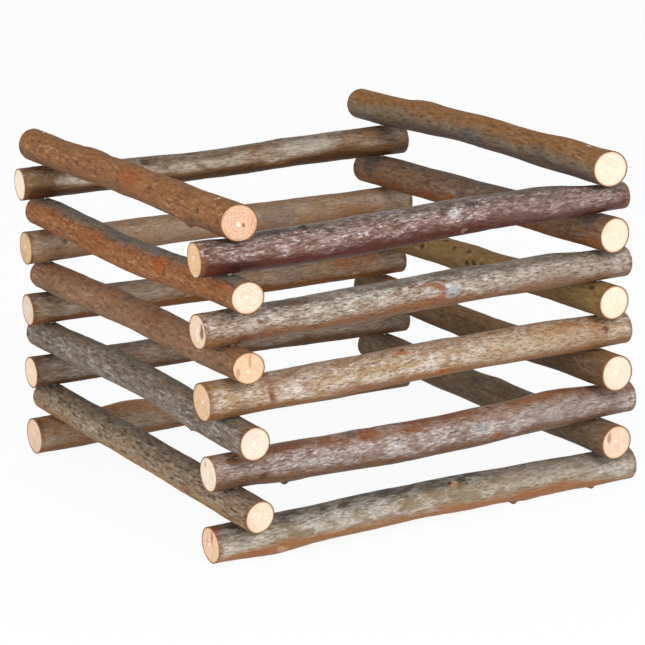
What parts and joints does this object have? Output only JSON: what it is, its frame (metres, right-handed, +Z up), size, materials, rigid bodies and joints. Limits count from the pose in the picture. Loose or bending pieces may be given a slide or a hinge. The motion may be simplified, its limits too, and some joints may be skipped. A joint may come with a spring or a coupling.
{
  "type": "hay feeder box",
  "caption": "Open square box of bark-covered branches laid crosswise and strung on corner wires; it holds hay that small animals pull out through the gaps.",
  "frame": {"origin": "on the floor, under the middle of the box", "axes": "+X to the right along the front branches, +Y from the front to the back along the side branches, +Z up"},
  "size_m": [0.2361, 0.2463, 0.1701],
  "materials": {
    "red_brown_bark": "natural bark, dry, pale sawn end grain",
    "silver_grey_bark": "natural bark, dry, pale sawn end grain",
    "tan_bark": "natural bark, dry, pale sawn end grain",
    "grey_green_bark": "natural bark, dry, pale sawn end grain",
    "orange_brown_bark": "natural bark, dry, pale sawn end grain",
    "dark_brown_bark": "natural bark, dry, pale sawn end grain",
    "olive_bark": "natural bark, dry, pale sawn end grain",
    "mid_brown_bark": "natural bark, dry, pale sawn end grain",
    "galvanised_wire": "dull galvanised wire"
  },
  "bodies": {
    "root": {"back_branch_1": "mid_brown_bark", "back_branch_2": "dark_brown_bark", "back_branch_3": "mid_brown_bark", "back_branch_4": "silver_grey_bark", "back_branch_5": "dark_brown_bark", "corner_rod_back_left": "galvanised_wire", "corner_rod_back_right": "galvanised_wire", "corner_rod_front_left": "galvanised_wire", "corner_rod_front_right": "galvanised_wire", "front_branch_1": "grey_green_bark", "front_branch_2": "silver_grey_bark", "front_branch_3": "tan_bark", "front_branch_4": "silver_grey_bark", "front_branch_5": "red_brown_bark", "left_branch_1": "grey_green_bark", "left_branch_2": "grey_green_bark", "left_branch_3": "mid_brown_bark", "left_branch_4": "orange_brown_bark", "left_branch_5": "orange_brown_bark", "right_branch_1": "dark_brown_bark", "right_branch_2": "mid_brown_bark", "right_branch_3": "olive_bark", "right_branch_4": "mid_brown_bark", "right_branch_5": "mid_brown_bark"}
  },
  "joints": []
}
